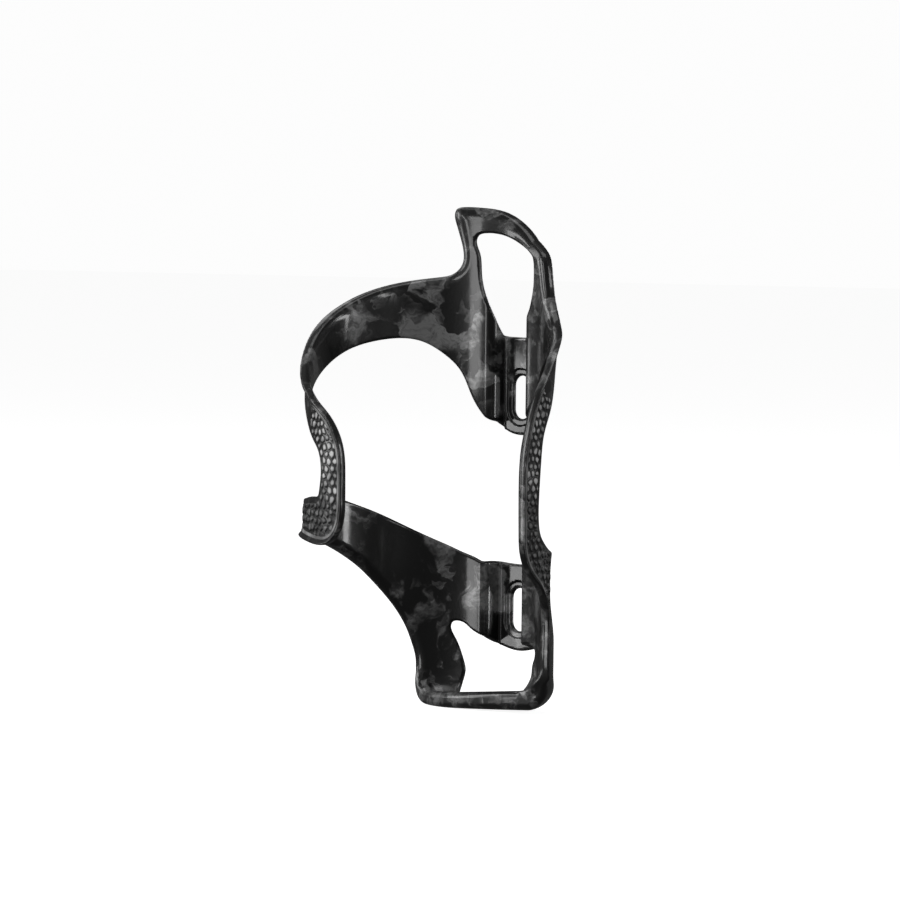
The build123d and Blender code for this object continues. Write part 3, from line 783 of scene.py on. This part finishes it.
def carbon_material():
    """Chopped black fibre in clear resin: flakes of different greys, each with its own streaks."""
    n = Nodes("forged_carbon")
    where = n.add("ShaderNodeTexCoord").outputs["Object"]
    drift = n.noise(where, 110.0, 3.0, Roughness=0.55)
    centred = n.vector("SUBTRACT", drift.outputs["Color"], (0.5, 0.5, 0.5))
    pushed = n.vector("MULTIPLY", centred, (FLAKE_DRIFT, FLAKE_DRIFT, FLAKE_DRIFT))
    moved = n.vector("ADD", where, pushed)
    turned = n.add(
        "ShaderNodeMapping", Vector=moved, Rotation=(0.5, 0.3, 0.8), Scale=(1.0, 0.55, 0.8)
    )
    flat = turned.outputs[0]
    flakes = n.add(
        "ShaderNodeTexVoronoi", {"feature": "SMOOTH_F1"}, Vector=flat, Scale=150.0, Smoothness=0.18
    )
    tints = n.add("ShaderNodeSeparateColor", i0=flakes.outputs["Color"])
    bits = n.add("ShaderNodeTexVoronoi", Vector=moved, Scale=330.0)
    bit_tint = n.add("ShaderNodeSeparateColor", i0=bits.outputs["Color"]).outputs[0]
    streaks = []
    for turn, size in (
        ((0.2, 0.9, 0.4), (900.0, 90.0, 900.0)), ((1.1, 0.1, 1.9), (90.0, 900.0, 900.0))
    ):
        along = n.add("ShaderNodeMapping", Vector=moved, Rotation=turn, Scale=size).outputs[0]
        streaks.append(n.noise(along, 1.0, 3.0).outputs[0])
    which = n.spread(tints.outputs[1], 0.45, 0.55)
    mix = n.add("ShaderNodeMix", {"data_type": "FLOAT"}, i0=which, i2=streaks[0], i3=streaks[1])
    fibre = mix.outputs[0]
    cloud = n.noise(where, 55.0, 2.0).outputs[0]
    patch = n.math("MULTIPLY", n.spread(cloud, 0.41, 0.62), n.spread(tints.outputs[0], 0.35, 1.0))
    small = n.math("MULTIPLY", n.spread(bit_tint, 0.55, 1.0), n.spread(cloud, 0.38, 0.55))
    wisp = n.noise(flat, 85.0, 5.0, Distortion=1.6).outputs[0]
    wisp = n.math("MULTIPLY", n.spread(wisp, 0.5, 0.72), 0.8)
    amount = n.math("ADD", patch, n.math("MULTIPLY", small, 0.45))
    amount = n.math("ADD", amount, wisp, clamp=True)
    amount = n.math("MULTIPLY", amount, n.spread(fibre, 0.3, 0.7, 0.55, 1.0))
    n.grey_colour(n.spread(amount, 0.08, 1.0, 0.004, 0.27))
    n.feed(n.shader, "Roughness", n.spread(amount, 0.0, 1.0, 0.42, 0.3))
    n.feed(n.shader, "Metallic", n.math("MULTIPLY", amount, 0.5))
    n.feed(n.shader, "Coat Weight", 1.0)
    n.feed(n.shader, "Coat Roughness", n.spread(drift.outputs[0], 0.3, 0.7, 0.07, 0.16))
    n.bump("Coat Normal", n.noise(where, 220.0, 2.0).outputs[0], 0.12, 0.2 * MM)
    n.bump("Normal", fibre, 0.25, 0.2 * MM)
    return n.material


def grip_material():
    """The same black resin, satin, with a painted highlight where the pebbles and the bead stand
    up.
    """
    n = Nodes("pebbled_grip")
    where = n.add("ShaderNodeTexCoord").outputs["Object"]
    tone = n.add("ShaderNodeAttribute", {"attribute_name": "tone"}).outputs["Fac"]
    fine = n.noise(where, 900.0, 3.0).outputs[0]
    broad = n.noise(where, 180.0, 1.0).outputs[0]
    # painted highlight on the pebble tops and the bead, made patchy by broad noise
    top_highlight = n.math("MULTIPLY", n.spread(tone, 0.25, 1.0), n.spread(broad, 0.3, 0.7, 0.5, 1.1))
    n.grey_colour(n.spread(top_highlight, 0.0, 1.0, 0.01, 0.8))
    n.feed(n.shader, "Roughness", n.spread(fine, 0.3, 0.7, 0.32, 0.5))
    n.bump("Normal", fine, 0.25, 0.1 * MM)
    return n.material


carbon = carbon_material()
for piece in pieces.values():
    piece.data.materials.append(carbon)
grip = grip_material()
front_grip.data.materials.append(grip)
side_grip.data.materials.append(grip)


# ----------------------------------------------------------------------------------------------
# Camera, floor and light
# ----------------------------------------------------------------------------------------------
CAMERA_DISTANCE = 2226 * MM
FLOOR_HEIGHT = -61.15 * MM     # just below the lowest point of the cage

azimuth, elevation, tilt = math.radians(41), math.radians(2), math.radians(0.64)
toward_camera = Vector((
    math.sin(azimuth) * math.cos(elevation), -math.cos(azimuth) * math.cos(elevation),
    math.sin(elevation),
))
aim = Vector((4.45, -39.1, 17.0)) * MM
camera = link("camera", bpy.data.cameras.new("camera"))
camera.data.lens = 300
camera.data.sensor_width = 36
camera.data.clip_start = 0.1
camera.data.clip_end = 30
camera.location = aim + toward_camera * CAMERA_DISTANCE
camera.rotation_mode = "QUATERNION"
roll = Matrix.Rotation(tilt, 4, "Z").to_quaternion()
camera.rotation_quaternion = (-toward_camera).to_track_quat("-Z", "Y") @ roll
bpy.context.scene.camera = camera

floor_mesh = bpy.data.meshes.new("floor")
floor_mesh.from_pydata([(-8, -8, 0), (8, -8, 0), (8, 8, 0), (-8, 8, 0)], [], [(0, 1, 2, 3)])
floor = link("floor", floor_mesh)
floor.location = (0, 0, FLOOR_HEIGHT)
floor_paint = Nodes("floor_paint")
floor_paint.feed(floor_paint.shader, "Base Color", (0.8, 0.8, 0.8, 1))
floor_paint.feed(floor_paint.shader, "Roughness", 1.0)
floor_paint.feed(floor_paint.shader, "Specular IOR Level", 0.0)
floor_paint.feed(floor_paint.shader, "Emission Color", (1, 1, 1, 1))
floor_paint.feed(floor_paint.shader, "Emission Strength", 0.92)
floor_mesh.materials.append(floor_paint.material)
floor.visible_glossy = False       # so that the undersides stay as dark as in the photograph
floor.visible_diffuse = False


def softbox(name, bearing, height, distance, size, power):
    """Rectangular soft light aimed at the middle of the cage, this far out and above it in
    metres. A bearing is measured as the camera's azimuth is."""
    light = bpy.data.lights.new(name, "AREA")
    light.shape = "RECTANGLE"
    light.size, light.size_y = size
    light.energy = power
    b = math.radians(bearing)
    obj = link(name, light)
    obj.location = aim + Vector((math.sin(b) * distance, -math.cos(b) * distance, height))
    obj.rotation_mode = "QUATERNION"
    obj.rotation_quaternion = (obj.location - aim).to_track_quat("Z", "Y")
    obj.visible_camera = False
    return obj


softbox("front_light", -3, 0.25, 1.6, (0.34, 1.3), 5.0)
softbox("plate_light", -42, 0.3, 1.6, (0.28, 1.0), 4.0)
softbox("left_light", -66, 0.5, 1.6, (0.4, 1.2), 4.0)
softbox("rim_light", -112, 1.3, 1.3, (0.8, 0.8), 2.0)
softbox("side_light", 84, 0.5, 1.6, (0.22, 0.8), 2.2)
softbox("back_light", 131, 0.3, 1.6, (0.22, 1.0), 4.2)
softbox("top_light", 41, 1.8, 0.2, (1.1, 1.1), 5.0)
fill = softbox("fill_light", 15, 0.9, 1.6, (1.4, 1.4), 13.0)
fill.visible_glossy = False        # it shows the fibres without a reflection of its own

world = bpy.data.worlds.new("studio")
bpy.context.scene.world = world
world.use_nodes = True
background = world.node_tree.nodes["Background"]
background.inputs["Color"].default_value = (1, 1, 1, 1)
seen = world.node_tree.nodes.new("ShaderNodeLightPath").outputs["Is Camera Ray"]
strength = world.node_tree.nodes.new("ShaderNodeMapRange")
strength.inputs["To Min"].default_value = 0.05     # what it lights the cage with
strength.inputs["To Max"].default_value = 0.98     # what the camera sees
world.node_tree.links.new(seen, strength.inputs["Value"])
world.node_tree.links.new(strength.outputs[0], background.inputs["Strength"])
bpy.context.scene.view_settings.view_transform = "Standard"
